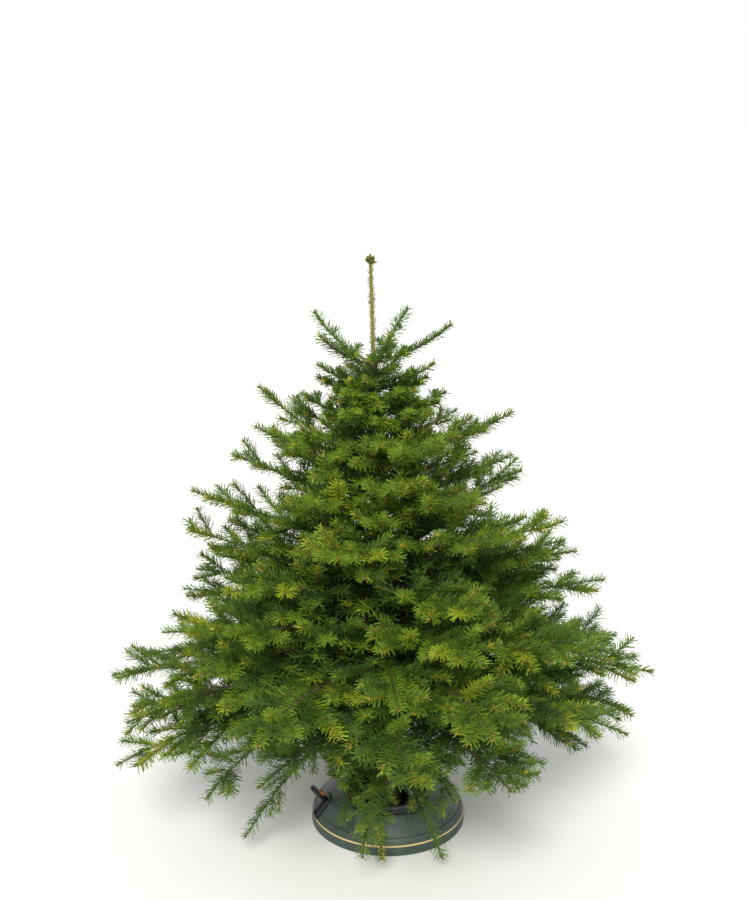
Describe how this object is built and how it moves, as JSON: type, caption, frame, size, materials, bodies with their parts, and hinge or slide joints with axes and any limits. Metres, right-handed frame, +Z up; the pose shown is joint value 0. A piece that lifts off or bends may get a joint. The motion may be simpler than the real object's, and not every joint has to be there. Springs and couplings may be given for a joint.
{
  "type": "christmas tree in its stand",
  "caption": "Young cut fir with dense whorled boughs and an upright leader, its trunk clamped in a round foot-operated stand with a press-down lever.",
  "frame": {"origin": "middle of the stand's flat underside, on the floor", "axes": "+Z up, -Y to the front, +X to the right seen from the front; the foot lever is at the left"},
  "size_m": [1.2275, 1.1392, 1.337],
  "materials": {
    "bark": "matte",
    "needles": "satin",
    "stand_green": "satin",
    "basin_grey": "satin",
    "collar_grey": "satin",
    "gilt_line": "satin",
    "lever_black": "satin",
    "catch_amber": "satin",
    "claw_metal": "satin"
  },
  "bodies": {
    "tree_and_stand": {"trunk": "bark", "stand_base": "basin_grey", "stand_housing": "stand_green", "stand_collar": "collar_grey", "stand_gilt_line": "gilt_line", "lever_guide": "lever_black", "claw_1": "claw_metal", "claw_2": "claw_metal", "claw_3": "claw_metal", "claw_4": "claw_metal", "bough_1": "bark", "bough_2": "bark", "bough_3": "bark", "bough_4": "bark", "bough_5": "bark", "bough_6": "bark", "crown_shoot_1": "needles", "crown_shoot_2": "needles", "crown_shoot_3": "needles", "crown_shoot_4": "needles", "crown_shoot_5": "needles", "neck_shoot_1": "needles", "neck_shoot_2": "needles", "upper_mass_1": "needles", "upper_mass_2": "needles", "upper_mass_3": "needles", "upper_mass_4": "needles", "upper_mass_5": "needles", "upper_fill_1": "needles", "upper_fill_2": "needles", "upper_fill_3": "needles", "middle_mass_1": "needles", "middle_mass_2": "needles", "middle_mass_3": "needles", "middle_mass_4": "needles", "middle_mass_5": "needles", "middle_fill_1": "needles", "middle_fill_2": "needles", "lower_mass_1": "needles", "lower_mass_2": "needles", "lower_mass_3": "needles", "lower_mass_4": "needles", "lower_mass_5": "needles", "skirt_mass_1": "needles", "skirt_mass_2": "needles", "skirt_mass_3": "needles", "skirt_mass_4": "needles", "skirt_mass_5": "needles", "skirt_mass_6": "needles", "hem_mass_1": "needles", "hem_mass_2": "needles", "hem_mass_3": "needles", "hem_mass_4": "needles", "hem_mass_5": "needles", "low_spray_1": "needles", "low_spray_2": "needles", "low_spray_3": "needles"},
    "foot_lever": {"foot_lever": "lever_black", "lever_catch": "catch_amber"}
  },
  "joints": [
    {"name": "lever_press", "type": "hinge", "parent": "tree_and_stand", "child": "foot_lever", "pos_m": [-0.11476, -0.03508, 0.033], "axis": [0.2924, -0.9563, 0], "range_deg": [0, 38], "stiffness_Nm_per_rad": 1, "springref_deg": -14.32}
  ]
}
